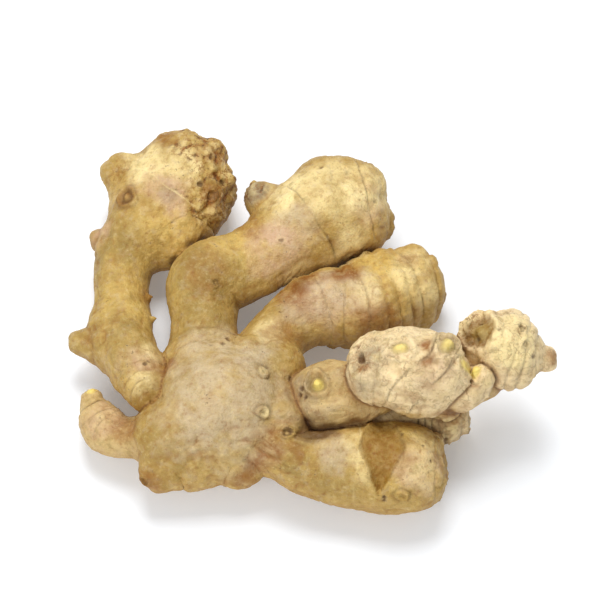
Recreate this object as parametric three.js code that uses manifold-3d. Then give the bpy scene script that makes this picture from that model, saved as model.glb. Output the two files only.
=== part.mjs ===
// Ginger root: one whole hand of fresh ginger, lying on a table as it was lifted and washed.
// A flat palm at the front left carries three long fingers that run away from the viewer, a stubby
// one at its left, and a thick lobe at its right end. On the back of that lobe sits a younger cluster
// of knobs with pale buds. Everything grew as one piece, so it is one solid.
// Millimetres, +Z up, resting on z = 0, with the origin under the middle of its footprint.
import * as THREE from "three";
import { mergeVertices } from "three/addons/utils/BufferGeometryUtils.js";
import Module from "manifold-3d";

const wasm = await Module();
wasm.setup();

// Driving dimensions
const FOOTPRINT_SHIFT = [0.44, -2.02]; // moves the drawing's origin under the middle of the footprint
const FACET = 6; // length of a facet round a finger
const MIN_SIDES = 12; // fewest facets round a finger
const RING_STEP = 10; // length of a facet along a finger
const CROWDED = 3.3; // nearest that a plain ring of facets comes to a ring scar
const BLUNT = 2.3; // how blunt the ends of the fingers are, where 2 is a round dome
const DOME_STEPS = [0.5, 0.8, 0.96]; // rings of facets over a domed end, as shares of its radius
const SCAR_LIP = 0.6; // height of the ridge that a shed leaf sheath leaves round a finger
const SCAR_RUN = 1.9; // how far that ridge takes to rise
const SCAR_DROP = 0.9; // and to fall again, towards the tip
const SUNK = 3; // how deep buds and scars are rooted in the finger that carries them
const MARK_SIDES = 8; // facets round a bud or a root scar
const DENT_DETAIL = 2; // how often the faces of a dent's ellipsoid are divided
const WELD = 1e-4; // points closer than this are one point
const ROOM = 400; // side of the block that stands for the space above the table

// The unevenness of a finger's section: share of the radius, bumps round it, turn of phase for each
// finger, and the length over which it drifts along the finger
const UNEVEN = [
  { share: 0.03, bumps: 2, phase: 1.9, drift: 9 },
  { share: 0.022, bumps: 3, phase: -2.3, drift: -13 },
  { share: 0.012, bumps: 5, phase: 0.7, drift: 6 },
];

// Each finger has a centre line of [x, y, z, radius], drawn from the palm to the tip, and the
// distances along it of the ring scars that its leaf sheaths left.
const FINGERS = {
  palm: {
    line: [[-50, -49, 19, 17], [-40, -43, 21, 23.5], [-25.5, -43, 22, 21.5], [-15, -44.5, 21, 16.5]],
    scars: [],
  },
  shoulder: {
    line: [[-27.5, -30.5, 22, 16.5], [-15, -27, 24, 13.5]],
    scars: [],
  },
  left_finger: {
    line: [
      [-64, -33, 26, 9.5], [-69, -22.5, 23, 11.5], [-75, -6, 18.5, 12.5], [-75.6, 10.5, 17, 10.7],
      [-75.2, 28.5, 17, 11.9], [-67.5, 43, 18, 16.5], [-60, 55, 19, 19.5], [-52.4, 65.2, 19.5, 20],
    ],
    scars: [3, 16.5, 32, 49, 67.5, 96],
  },
  middle_finger: {
    line: [
      [-38.5, -34.5, 21, 19.5], [-41.5, -19, 21, 16], [-42.1, -3, 21, 12.8], [-41, 14.8, 22, 17.2],
      [-26.5, 23, 22, 14.5], [-14.5, 31, 23, 15.5], [-3, 39.5, 23.5, 19], [6, 46.5, 23, 20.5],
      [11.8, 48.3, 23, 19.7],
    ],
    scars: [22.5, 37.5, 52, 75, 96],
  },
  right_finger: {
    line: [
      [-20.5, -17.5, 22, 11], [-10.5, -4.5, 21, 11.5], [3, 5, 20, 14.5], [16, 7, 18.5, 16.5],
      [30, 12, 17, 17.5], [38.7, 15.2, 15.5, 15.6],
    ],
    scars: [24.5, 42, 49, 55.5, 66],
  },
  little_finger: {
    line: [
      [-67, -51.5, 16, 8], [-74.5, -49.5, 14, 8], [-81, -44.5, 12, 9], [-85, -36, 12, 6.5],
      [-86, -33, 12, 5],
    ],
    scars: [19],
  },
  front_lobe: {
    line: [
      [-18.5, -53.5, 20, 11.5], [-5, -61.3, 18, 12.2], [13.5, -63.5, 18.5, 14.8],
      [28.5, -64.5, 17.5, 17.5], [35.5, -64.5, 17, 17.5],
    ],
    scars: [22, 30, 37.5],
  },
  cluster_left: { line: [[6.3, -39, 28.5, 14], [16, -38.5, 31, 12.8], [25, -38, 34, 10.5]], scars: [9] },
  cluster_middle: { line: [[27.5, -35, 42, 14], [37.5, -36, 44, 16], [45, -36.5, 43, 15.5]], scars: [7, 14] },
  cluster_right: {
    line: [[69.8, -23.3, 38.5, 13.3], [74.5, -24.8, 40, 16.2], [83, -26.6, 39.5, 13], [90, -27.8, 39, 5.6]],
    scars: [9, 17],
  },
  cluster_root: { line: [[-10, -44, 15, 9.5], [29.5, -45, 14, 9]], scars: [] },
  cluster_foot: { line: [[29, -45, 16, 9.5], [51, -41, 16, 11]], scars: [14, 20] },
  cluster_neck: { line: [[52, -39, 30, 10], [65.5, -33.5, 33, 9], [72.5, -27.5, 35, 10]], scars: [] },
  cluster_bud: { line: [[57, -41, 37, 9], [62, -40, 40.5, 8], [65.5, -39.2, 44, 5]], scars: [] },
  head_knob: { line: [[-73, 61.5, 20, 9.5], [-77.5, 67, 22, 8]], scars: [] },
  side_knob: { line: [[-81, 37, 18, 4], [-85, 38, 18, 4.5]], scars: [] },
  spur: { line: [[-82, -11, 18, 7.5], [-91.5, -9.5, 18, 5]], scars: [] },
  middle_knob: { line: [[-13, 48, 24, 8], [-19, 53, 26, 7.5]], scars: [] },
  right_knob: { line: [[37, 22, 22, 8], [42, 26, 24, 5.5]], scars: [] },
  head_lobe: { line: [[-51, 57.5, 18.5, 14], [-46.5, 55.5, 18.5, 12.3]], scars: [] },
  neck_lobe: { line: [[-62, 43, 18, 14.5], [-54.6, 38.7, 19, 12]], scars: [] },
  top_lobe: { line: [[8, 47, 23, 17], [10, 54.8, 25, 15]], scars: [] },
  heel_left: { line: [[-55, -59.5, 16, 11], [-58, -65, 15, 8.5]], scars: [] },
  heel_middle: { line: [[-43, -52.5, 18, 15], [-41, -56.5, 17, 13.5]], scars: [] },
  heel_right: { line: [[-28, -57, 18, 11.5], [-26, -63.5, 16, 7.5]], scars: [] },
  cluster_shelf: { line: [[45, -39, 35.5, 11], [53, -40, 33.5, 9.5]], scars: [] },
};

// What stands on the fingers, as half sections turned round an axis that points out of the skin:
// shares of the radius and of the height
const SECTIONS = {
  bud: [[1, 0.1], [0.82, 0.5], [0.62, 0.35], [0.4, 0.85], [0, 1]],
  eye: [[1, 0.1], [0.84, 1], [0.58, 0.2], [0.3, 0.9], [0, 1]],
  root_scar: [[1, 0.2], [0.7, 1], [0.3, 0.3], [0, 0.2]],
  stub: [[0.97, 0.5], [0.85, 1], [0.55, 0.6], [0.25, 0.85], [0, 0.7]],
  thorn: [[0.8, 0.3], [0.35, 0.7], [0, 1]],
};

// Where they stand: the distance along the finger, the angle round it from its right side over its
// top, and how far they lean towards its tip, both in degrees
const MARKS = [
  { section: "eye", on: "left_finger", along: 85, round: 120, lean: 0, radius: 3.6, height: 0.9 },
  { section: "root_scar", on: "left_finger", along: 104.5, round: 40, lean: 0, radius: 3, height: 0.7 },
  { section: "thorn", on: "left_finger", along: 47.5, round: 5, lean: 0, radius: 2, height: 2.4 },
  { section: "thorn", on: "left_finger", along: 23.5, round: 15, lean: 25, radius: 1.6, height: 3.4 },
  { section: "root_scar", on: "middle_finger", along: 18.5, round: 50, lean: 0, radius: 2.2, height: 0.8 },
  { section: "root_scar", on: "middle_knob", along: 8, round: 120, lean: 37, radius: 3.4, height: 0.8 },
  { section: "eye", on: "cluster_left", along: 0, round: 80, lean: -24, radius: 3.8, height: 1.4 },
  { section: "root_scar", on: "cluster_left", along: 0, round: 65, lean: -37, radius: 2, height: 0.6 },
  { section: "bud", on: "cluster_middle", along: 18, round: 105, lean: 14, radius: 5.2, height: 2.8 },
  { section: "bud", on: "cluster_middle", along: 7.5, round: 95, lean: 0, radius: 3.4, height: 1.4 },
  { section: "root_scar", on: "cluster_middle", along: 0.5, round: 105, lean: 0, radius: 2, height: 0.6 },
  { section: "stub", on: "cluster_right", along: 3.5, round: 88, lean: -9, radius: 6, height: 2.2 },
  { section: "bud", on: "little_finger", along: 29, round: 70, lean: 37, radius: 3.2, height: 1.4 },
  { section: "root_scar", on: "palm", along: 33.5, round: 70, lean: 0, radius: 2.7, height: 0.9 },
  { section: "root_scar", on: "shoulder", along: 9, round: 70, lean: 0, radius: 2.4, height: 0.7 },
  { section: "root_scar", on: "front_lobe", along: 56.5, round: 25, lean: 0, radius: 2.4, height: 0.9 },
  { section: "root_scar", on: "heel_left", along: 6, round: 65, lean: 53, radius: 2.6, height: 0.8 },
];

// What is sunk into the fingers, as the bowls that ellipsoids cut: their half lengths along the
// finger, round it and into it, and how far their middle stands off the skin
const DENTS = [
  { on: "front_lobe", along: 47, round: 89, lean: 0, halves: [9.5, 14.5, 5.2], off: 1.6 },
  { on: "cluster_middle", along: 0, round: 80, lean: -24, halves: [2.4, 2.4, 2], off: 0.5 },
  { on: "palm", along: 37, round: 35, lean: 24, halves: [2.6, 2.6, 2.2], off: 0.6 },
];

const UP = new THREE.Vector3(0, 0, 1);

// A closed geometry as a solid.
function solidOf(geometry) {
  const bare = geometry.clone().deleteAttribute("normal").deleteAttribute("uv");
  const merged = mergeVertices(bare, WELD);
  return new wasm.Manifold(
    new wasm.Mesh({
      numProp: 3,
      vertProperties: merged.attributes.position.array,
      triVerts: new Uint32Array(merged.index.array),
    }),
  );
}

// A finger's centre line and radius, as smooth functions of the distance along it.
function courseOf(line) {
  const smooth = (points) => new THREE.CatmullRomCurve3(points, false, "catmullrom");
  const route = smooth(line.map(([x, y, z]) => new THREE.Vector3(x, y, z)));
  const radii = smooth(line.map(([, , , r]) => new THREE.Vector3(r, 0, 0)));
  const length = route.getLength();
  const at = (s) => {
    const u = THREE.MathUtils.clamp(s / length, 0, 1);
    const along = route.getTangentAt(u);
    const side = new THREE.Vector3().crossVectors(along, UP).normalize();
    return {
      centre: route.getPointAt(u),
      along,
      side,
      top: new THREE.Vector3().crossVectors(side, along),
      radius: radii.getPoint(route.getUtoTmapping(u)).x,
    };
  };
  return { length, at };
}

// The direction out of a finger at an angle round it, from its right side over its top.
function outward({ side, top }, angle) {
  return side.clone().multiplyScalar(Math.cos(angle)).addScaledVector(top, Math.sin(angle));
}

function unevenness(angle, s, turn) {
  const wave = (w) => w.share * Math.sin(w.bumps * angle + w.phase * turn + s / w.drift);
  return UNEVEN.reduce((sum, w) => sum + wave(w), 0);
}

// How far a ring scar lifts the skin, by the distance past it.
function scarLift(past) {
  if (past < -SCAR_RUN || past > SCAR_DROP) return 0;
  return SCAR_LIP * (past < 0 ? 1 + past / SCAR_RUN : 1 - past / SCAR_DROP);
}

// The stations of a finger's rings: [distance along, share of the radius, distance past the end].
function stationsOf({ length, at }, scars) {
  const dome = (end, sign) => {
    const { radius } = at(end);
    return DOME_STEPS.map((t) => [end, (1 - t ** BLUNT) ** (1 / BLUNT), sign * t * radius]);
  };
  const steps = Math.max(1, Math.round(length / RING_STEP));
  const plain = Array.from({ length: steps + 1 }, (_, i) => (length * i) / steps);
  const marked = scars.flatMap((s) => [s - SCAR_RUN, s, s + SCAR_DROP]);
  const near = (s) => marked.some((m) => Math.abs(m - s) < CROWDED);
  const body = [...plain.filter((s) => !near(s)), ...marked].sort((a, b) => a - b);
  return [...dome(0, -1).reverse(), ...body.map((s) => [s, 1, 0]), ...dome(length, 1)];
}

// A finger as one closed skin: rings of points round its centre line, with a point at each end.
function fingerGeometry({ line, scars }, turn) {
  const course = courseOf(line);
  const widest = Math.max(...line.map(([, , , r]) => r));
  const sides = Math.max(MIN_SIDES, Math.round((2 * Math.PI * widest) / FACET));
  const stations = stationsOf(course, scars);
  const points = [];
  for (const [s, share, past] of stations) {
    const place = course.at(s);
    const lift = scars.reduce((sum, scar) => sum + scarLift(s - scar), 0);
    for (let i = 0; i < sides; i++) {
      const angle = (2 * Math.PI * i) / sides;
      const reach = share * (place.radius * (1 + unevenness(angle, s + past, turn)) + lift);
      points.push(
        place.centre.clone().addScaledVector(place.along, past).addScaledVector(outward(place, angle), reach),
      );
    }
  }
  for (const [s, sign] of [[0, -1], [course.length, 1]]) {
    const { centre, along, radius } = course.at(s);
    points.push(centre.clone().addScaledVector(along, sign * radius));
  }
  const [first, last] = [points.length - 2, points.length - 1];
  const index = [];
  for (let ring = 0; ring + 1 < stations.length; ring++) {
    for (let i = 0; i < sides; i++) {
      const [a, b] = [ring * sides + i, ring * sides + ((i + 1) % sides)];
      index.push(a, b + sides, b, a, a + sides, b + sides);
    }
  }
  const end = (stations.length - 1) * sides;
  for (let i = 0; i < sides; i++) {
    const next = (i + 1) % sides;
    index.push(first, i, next, last, end + next, end + i);
  }
  return new THREE.BufferGeometry().setFromPoints(points).setIndex(index);
}

// The frame of a place on a finger's skin: along the finger, round it, and out of it.
function placeOn({ on, along, round, lean }, off = 0) {
  const place = courseOf(FINGERS[on].line).at(along);
  const [angle, tilt] = [THREE.MathUtils.degToRad(round), THREE.MathUtils.degToRad(lean)];
  const out = outward(place, angle)
    .multiplyScalar(Math.cos(tilt))
    .addScaledVector(place.along, Math.sin(tilt));
  const about = outward(place, angle + Math.PI / 2);
  const forward = new THREE.Vector3().crossVectors(about, out);
  const turn = Object.keys(FINGERS).indexOf(on);
  const reach = place.radius * (1 + unevenness(angle, along, turn)) + off;
  return new THREE.Matrix4()
    .makeBasis(forward, about, out)
    .setPosition(place.centre.clone().addScaledVector(out, reach));
}

// A bud, an eye, a root scar, a stub or a thorn: its section turned round the way out of the skin.
function markGeometry(mark) {
  const shown = SECTIONS[mark.section].map(([r, h]) => new THREE.Vector2(r * mark.radius, h * mark.height));
  const hidden = [new THREE.Vector2(0, -SUNK), new THREE.Vector2(mark.radius, -SUNK)];
  return new THREE.LatheGeometry([...hidden, ...shown], MARK_SIDES)
    .rotateX(Math.PI / 2)
    .applyMatrix4(placeOn(mark));
}

function dentGeometry(dent) {
  return new THREE.IcosahedronGeometry(1, DENT_DETAIL)
    .scale(...dent.halves)
    .applyMatrix4(placeOn(dent, dent.off));
}

// The space above the table: what it keeps of the root has small flats where the root rests.
function aboveTable() {
  return solidOf(new THREE.BoxGeometry(ROOM, ROOM, ROOM).translate(0, 0, ROOM / 2));
}

function rhizome() {
  const grown = Object.values(FINGERS).map((finger, turn) => solidOf(fingerGeometry(finger, turn)));
  const marks = MARKS.map((mark) => solidOf(markGeometry(mark)));
  const dents = DENTS.map((dent) => solidOf(dentGeometry(dent)));
  const whole = wasm.Manifold.union([...grown, ...marks])
    .subtract(wasm.Manifold.union(dents))
    .intersect(aboveTable());
  const { vertProperties, triVerts } = whole.getMesh();
  return new THREE.BufferGeometry()
    .setAttribute("position", new THREE.BufferAttribute(vertProperties, 3))
    .setIndex(new THREE.BufferAttribute(triVerts, 1))
    .translate(...FOOTPRINT_SHIFT, 0);
}

const skin = new THREE.MeshStandardMaterial({ color: 0xc9aa6e, roughness: 0.7, metalness: 0 });
const mesh = new THREE.Mesh(rhizome(), skin);
mesh.name = "rhizome";

const ginger = new THREE.Group();
ginger.add(mesh);
export default ginger;
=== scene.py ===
"""Ginger root, dressed: the fine surface and the skin of one hand of fresh ginger.

The fingers repeat the centre lines of the part, in millimetres. They are swept as round skins, fused,
melted into each other where they grew together, and given their ring scars, buds, pits and wrinkles.
"""

import logging
import math
from dataclasses import dataclass, field
from enum import Enum
from typing import Any

import bpy
import numpy as np
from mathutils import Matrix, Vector


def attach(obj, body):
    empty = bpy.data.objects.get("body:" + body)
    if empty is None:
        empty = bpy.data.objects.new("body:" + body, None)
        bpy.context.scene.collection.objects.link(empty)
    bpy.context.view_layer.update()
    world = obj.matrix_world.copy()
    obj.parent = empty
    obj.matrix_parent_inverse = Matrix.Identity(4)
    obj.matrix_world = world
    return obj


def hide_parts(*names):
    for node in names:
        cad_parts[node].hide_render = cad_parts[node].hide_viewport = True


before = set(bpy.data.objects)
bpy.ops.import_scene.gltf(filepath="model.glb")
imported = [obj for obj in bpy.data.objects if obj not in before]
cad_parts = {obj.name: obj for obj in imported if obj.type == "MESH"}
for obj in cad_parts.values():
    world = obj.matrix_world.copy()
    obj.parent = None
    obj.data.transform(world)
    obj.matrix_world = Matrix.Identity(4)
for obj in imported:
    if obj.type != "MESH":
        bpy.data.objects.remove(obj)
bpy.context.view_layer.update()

LOG = logging.getLogger("ginger")
MM = 0.001  # a millimetre, in metres
FOOTPRINT_SHIFT = (0.44, -2.02, 0.0)  # from the centre lines' origin to the middle of the footprint
BLUNT = 2.3  # how blunt the ends of the fingers are, where 2 is a round dome
FAR = 99.0  # the distance given to what is too far off to matter
TINY = 1e-12  # the least length that a direction is divided by

Points = np.ndarray
Values = np.ndarray


def lift_between(x: Values, low: float, high: float) -> Values:
    """A smooth step from 0 at low to 1 at high."""
    t = np.clip((x - low) / (high - low), 0.0, 1.0)
    return t * t * (3.0 - 2.0 * t)


def fall_between(x: Values, low: float, high: float) -> Values:
    """A smooth step from 1 at low to 0 at high."""
    return 1.0 - lift_between(x, low, high)


def bump_at(x: Values, middle: float, width: float) -> Values:
    """A smooth bump, 1 in its middle and nearly gone at twice its width."""
    return np.exp(-(((x - middle) / width) ** 2))


class Noise:
    """Smooth random values in space, the same on each run."""

    PRIMES = np.array([73856093, 19349663, 83492791], dtype=np.int64)
    CELLS = 8192

    def __init__(self, seed: int) -> None:
        """Fills the table of random values from the seed."""
        self.table = np.random.default_rng(seed).uniform(-1.0, 1.0, self.CELLS)

    def at(self, points: Points, size: float) -> Values:
        """Reads the noise.

        Args:
            points: Places in millimetres.
            size: The width of a bump in millimetres.

        Returns:
            A value from -1 to 1 for each place.
        """
        scaled = points / size
        cell = np.floor(scaled)
        part = scaled - cell
        part = part * part * (3.0 - 2.0 * part)
        cell = cell.astype(np.int64)
        total = np.zeros(len(points))
        for corner in np.ndindex(2, 2, 2):
            key = (cell + corner) * self.PRIMES
            value = self.table[(key[:, 0] ^ key[:, 1] ^ key[:, 2]) % self.CELLS]
            share = np.where(np.array(corner, dtype=bool), part, 1.0 - part)
            total += value * share.prod(axis=1)
        return total


@dataclass(frozen=True)
class Ring:
    """A ring scar that a shed leaf sheath left round a finger."""

    along: float  # distance along the finger
    lip: float = 0.6  # height of its edge
    groove: float = 0.25  # depth of the line past the edge
    dark: float = 0.7  # how much the line has darkened, or lightened where it is negative
    slant: float = 0.0  # how far along the finger it is drawn out, up its near side


def rings(*places: float, **kind: float) -> tuple[Ring, ...]:
    """Ring scars of one kind at several distances along a finger."""
    return tuple(Ring(along, **kind) for along in places)


@dataclass(frozen=True)
class Finger:
    """A finger, lobe or knob of the root: its centre line and radius, its scars and its age."""

    name: str
    line: tuple[tuple[float, float, float, float], ...]
    scars: tuple[Ring, ...] = ()
    melt: float = 4.0  # how widely it runs into its neighbours
    young: float = 0.0  # how pale and crisp its skin still is
    swell: float = 0.3  # how far it swells between two ring scars
    kin: str = ""  # the finger that it is only a swelling of
    touches: str = ""  # the finger that it lies against without growing into it


FINGERS = (
    Finger(
        "palm",
        ((-50, -49, 19, 17), (-40, -43, 21, 23.5), (-25.5, -43, 22, 21.5), (-15, -44.5, 21, 16.5)),
        melt=10,
    ),
    Finger("shoulder", ((-27.5, -30.5, 22, 16.5), (-15, -27, 24, 13.5)), melt=10),
    Finger(
        "left_finger",
        (
            (-64, -33, 26, 9.5), (-69, -22.5, 23, 11.5), (-75, -6, 18.5, 12.5), (-75.6, 10.5, 17, 10.7),
            (-75.2, 28.5, 17, 11.9), (-67.5, 43, 18, 16.5), (-60, 55, 19, 19.5), (-52.4, 65.2, 19.5, 20),
        ),
        rings(-5.5, -1.5, 3, lip=1.0, groove=0.5, dark=0.7)
        + rings(15, 32, 49, 67.5, lip=0.3, groove=0.15, dark=0.2)
        + rings(95, lip=0.5, groove=0.0, dark=-0.8),
        melt=3.5,
    ),
    Finger(
        "middle_finger",
        (
            (-38.5, -34.5, 21, 19.5), (-41.5, -19, 21, 16), (-42.1, -3, 21, 12.8), (-41, 14.8, 22, 17.2),
            (-26.5, 23, 22, 14.5), (-14.5, 31, 23, 15.5), (-3, 39.5, 23.5, 19), (6, 46.5, 23, 20.5),
            (11.8, 48.3, 23, 19.7),
        ),
        rings(15, 22.5, lip=0.35, dark=0.4) + rings(37.5, 52, 75, lip=0.3, groove=0.15, dark=0.2)
        + rings(96, lip=0.7, groove=0.3, dark=0.55) + rings(110, lip=0.25, groove=0.2, dark=0.3)
        + rings(122.5, 129, lip=0.5, groove=0.35, dark=0.45),
        melt=10,
    ),
    Finger(
        "right_finger",
        (
            (-20.5, -17.5, 22, 11), (-10.5, -4.5, 21, 11.5), (3, 5, 20, 14.5), (16, 7, 18.5, 16.5),
            (30, 12, 17, 17.5), (38.7, 15.2, 15.5, 15.6),
        ),
        rings(24.5, 33, 42, 49, 55.5, 61, 66, 71, 79, 83, lip=0.4, groove=0.4, dark=0.5),
        melt=8,
        swell=0.9,
        touches="middle_finger",
    ),
    Finger(
        "little_finger",
        (
            (-67, -51.5, 16, 8), (-74.5, -49.5, 14, 8), (-81, -44.5, 12, 9), (-85, -36, 12, 6.5),
            (-86, -33, 12, 5),
        ),
        rings(6, 12, 19, 25, lip=0.5, groove=0.35, dark=0.7),
        melt=6,
        young=0.3,
    ),
    Finger(
        "front_lobe",
        (
            (-18.5, -53.5, 20, 11.5), (-5, -61.3, 18, 12.2), (13.5, -63.5, 18.5, 14.8),
            (28.5, -64.5, 17.5, 17.5), (35.5, -64.5, 17, 17.5),
        ),
        rings(20, 25, 30, lip=0.35, groove=0.15, dark=-0.15)
        # the line at 37.5 is a painted highlight along the dish's rim on the side towards the base
        + rings(37.5, lip=0.35, groove=0.15, dark=-0.8) + rings(68, 71.5, lip=0.45, groove=0.35, dark=0.45),
        melt=9,
    ),
    Finger(
        "cluster_left",
        ((6.3, -39, 28.5, 14), (16, -38.5, 31, 12.8), (25, -38, 34, 10.5)),
        rings(9, lip=0.3, dark=0.4),
        melt=1.6,
        young=0.35,
    ),
    Finger(
        "cluster_middle",
        ((27.5, -35, 42, 14), (37.5, -36, 44, 16), (45, -36.5, 43, 15.5)),
        rings(8.3, 18, lip=0.45, groove=0.4, dark=0.6, slant=9.5)
        + rings(-6, 0, lip=0.3, groove=0.3, dark=0.3, slant=4),
        melt=1.6,
        young=1.0,
    ),
    Finger(
        "cluster_right",
        ((69.8, -23.3, 38.5, 13.3), (74.5, -24.8, 40, 16.2), (83, -26.6, 39.5, 13), (90, -27.8, 39, 5.6)),
        rings(4, 9, 13, lip=0.35, groove=0.4, dark=0.5) + rings(17.5, lip=0.6, groove=0.5, dark=0.8),
        melt=1.6,
        young=1.0,
        swell=0.6,
    ),
    Finger("cluster_root", ((-10, -44, 15, 9.5), (29.5, -45, 14, 9)), melt=2),
    Finger(
        "cluster_foot",
        ((29, -45, 16, 9.5), (51, -41, 16, 11)),
        rings(11, 14, 17, 20, 22.5, 28, 31, lip=0.4, groove=0.5, dark=0.9),
        melt=1.6,
        young=0.8,
    ),
    Finger(
        "cluster_neck", ((52, -39, 30, 10), (65.5, -33.5, 33, 9), (72.5, -27.5, 35, 10)), melt=1.6, young=0.5
    ),
    Finger(
        "cluster_bud", ((57, -41, 37, 9), (62, -40, 40.5, 8), (65.5, -39.2, 44, 5)), melt=1.6, young=1.0
    ),
    Finger("head_knob", ((-73, 61.5, 20, 9.5), (-77.5, 67, 22, 8)), melt=4, kin="left_finger"),
    Finger("side_knob", ((-79.5, 36.5, 17.5, 7.5), (-85.3, 38, 18, 4)), melt=4, kin="left_finger"),
    Finger("spur", ((-82, -11, 18, 7.5), (-91.5, -9.5, 18, 5)), melt=5, kin="left_finger"),
    Finger("middle_knob", ((-13, 48, 24, 8), (-19, 53, 26, 7.5)), melt=4, kin="middle_finger"),
    Finger("right_knob", ((37, 22, 22, 8), (42, 26, 24, 5.5)), melt=3, kin="right_finger"),
    Finger("head_lobe", ((-51, 57.5, 18.5, 14), (-46.5, 55.5, 18.5, 12.3)), melt=3, kin="left_finger"),
    Finger("neck_lobe", ((-62, 43, 18, 14.5), (-54.6, 38.7, 19, 12)), melt=1.6, kin="left_finger"),
    Finger("top_lobe", ((8, 47, 23, 17), (10, 54.8, 25, 15)), melt=6, kin="middle_finger"),
    Finger("heel_left", ((-55, -59.5, 16, 11), (-58, -65, 15, 8.5)), melt=5, kin="palm"),
    Finger("heel_middle", ((-43, -52.5, 18, 15), (-41, -56.5, 17, 13.5)), melt=5, kin="palm"),
    Finger("heel_right", ((-28, -57, 18, 11.5), (-26, -63.5, 16, 7.5)), melt=5, kin="palm"),
    Finger(
        "cluster_shelf", ((45, -39, 35.5, 11), (53, -40, 33.5, 9.5)),
        melt=1.6, young=1.0, kin="cluster_middle",
    ),
)


@dataclass(frozen=True)
class Wave:
    """One wave of the unevenness of a finger's section."""

    share: float  # its height, as a share of the radius
    bumps: int  # how many bumps it has round the finger
    phase: float  # how far it is turned from one finger to the next
    drift: float  # how far along the finger it takes to turn


UNEVEN = (Wave(0.03, 2, 1.9, 9), Wave(0.022, 3, -2.3, -13), Wave(0.012, 5, 0.7, 6))


@dataclass
class Located:
    """Places as a finger sees them: along it, across it, and how far off its skin."""

    along: Values
    side: Values
    top: Values
    off: Values


class Course:
    """A finger's centre line, sampled evenly, with the frame and the radius at each sample."""

    STEP = 0.8  # distance between samples
    FINE = 40  # points of the curve between two points of the line

    def __init__(self, finger: Finger, turn: int) -> None:
        """Samples the smooth curve through the points of the finger's line.

        Args:
            finger: The finger.
            turn: Its number, which sets its unevenness apart.
        """
        self.finger = finger
        self.turn = turn
        dense = self._curve(np.array(finger.line, dtype=float))
        run = np.concatenate([[0.0], np.cumsum(np.linalg.norm(np.diff(dense[:, :3], axis=0), axis=1))])
        self.length = float(run[-1])
        self.along = np.linspace(0.0, self.length, max(3, round(self.length / self.STEP)) + 1)
        sampled = np.stack([np.interp(self.along, run, dense[:, i]) for i in range(4)], axis=1)
        self.centre = sampled[:, :3] + FOOTPRINT_SHIFT
        self.radius = sampled[:, 3]
        ahead = np.gradient(self.centre, axis=0)
        self.ahead = ahead / np.linalg.norm(ahead, axis=1, keepdims=True)
        side = np.cross(self.ahead, (0.0, 0.0, 1.0))
        self.side = side / np.linalg.norm(side, axis=1, keepdims=True)
        self.top = np.cross(self.side, self.ahead)

    def _curve(self, line: np.ndarray) -> np.ndarray:
        """The smooth curve through the line's points, with the ends drawn on straight.

        Args:
            line: The points and the radii of the line.

        Returns:
            Points and radii of the curve, closely sampled.
        """
        padded = np.vstack([2 * line[0] - line[1], line, 2 * line[-1] - line[-2]])
        t = np.linspace(0.0, 1.0, self.FINE, endpoint=False)[:, None]
        spans = []
        for before, start, end, after in zip(padded, padded[1:], padded[2:], padded[3:]):
            out, into = (end - before) / 2, (after - start) / 2
            cubic = (2 * start - 2 * end + out + into) * t**3
            spans.append(cubic + (-3 * start + 3 * end - 2 * out - into) * t**2 + out * t + start)
        return np.vstack([*spans, line[-1:]])

    def unevenness(self, angle: Values, along: Values) -> Values:
        """The share of the radius by which the section stands out at an angle."""
        turn = self.turn
        return sum(w.share * np.sin(w.bumps * angle + w.phase * turn + along / w.drift) for w in UNEVEN)

    def at(self, along: float) -> tuple[np.ndarray, np.ndarray, np.ndarray, np.ndarray, float]:
        """The centre, the directions ahead, aside and up, and the radius at a distance along."""
        i = int(np.argmin(np.abs(self.along - along)))
        return self.centre[i], self.ahead[i], self.side[i], self.top[i], float(self.radius[i])

    def locate(self, points: Points) -> Located:
        """Finds places in the finger's own terms.

        Args:
            points: Places in millimetres.

        Returns:
            The distance along the finger, the two offsets across it, and the distance off its skin.
        """
        squares = (self.centre**2).sum(axis=1) - 2 * points @ self.centre.T
        near = np.argmin(squares, axis=1)
        apart = points - self.centre[near]
        along = self.along[near] + (apart * self.ahead[near]).sum(axis=1)
        side = (apart * self.side[near]).sum(axis=1)
        top = (apart * self.top[near]).sum(axis=1)
        radius = np.interp(along, self.along, self.radius)
        radius = radius * (1.0 + self.unevenness(np.arctan2(top, side), along))
        past = np.maximum(0.0, np.maximum(-along, along - self.length))
        across = np.hypot(side, top)
        reach = ((past / radius) ** BLUNT + (across / radius) ** BLUNT) ** (1.0 / BLUNT)
        return Located(along, side, top, (reach - 1.0) * radius)


class Section(Enum):
    """What stands on the skin, as the height at shares of its radius, from the middle outwards."""

    BUD = ((0.0, 1.0), (0.22, 0.8), (0.45, 0.1), (0.6, 0.55), (0.75, 0.2), (0.88, 0.5), (1.15, 0.0))
    EYE = ((0.0, 0.5), (0.2, 0.4), (0.4, -0.6), (0.55, -0.4), (0.8, 1.0), (1.15, 0.0))
    ROOT_SCAR = ((0.0, 0.1), (0.2, -0.5), (0.45, -0.3), (0.7, 1.0), (0.95, 0.5), (1.2, 0.0))
    BUTTON = ((0.0, 0.4), (0.3, 0.3), (0.55, 1.0), (0.8, 0.9), (1.0, -0.35), (1.3, 0.0))
    STUB = ((0.0, 0.2), (0.5, -0.2), (0.72, 0.2), (0.86, 1.0), (1.0, 0.8), (1.25, 0.0))
    PIT = ((0.0, -1.0), (0.5, -0.85), (0.8, -0.2), (1.0, 0.15), (1.3, 0.0))
    THORN = ((0.0, 1.0), (0.35, 0.55), (0.8, 0.2), (1.0, 0.0))
    KNOB = ((0.0, 1.0), (0.5, 0.72), (1.0, 0.0))


BUD, EYE, ROOT_SCAR, BUTTON, STUB, PIT, THORN, KNOB = Section


@dataclass(frozen=True)
class Place:
    """A place on a finger: along it, round it from its right side over its top, leaning to its tip."""

    on: str
    along: float
    round: float
    lean: float = 0.0


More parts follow.
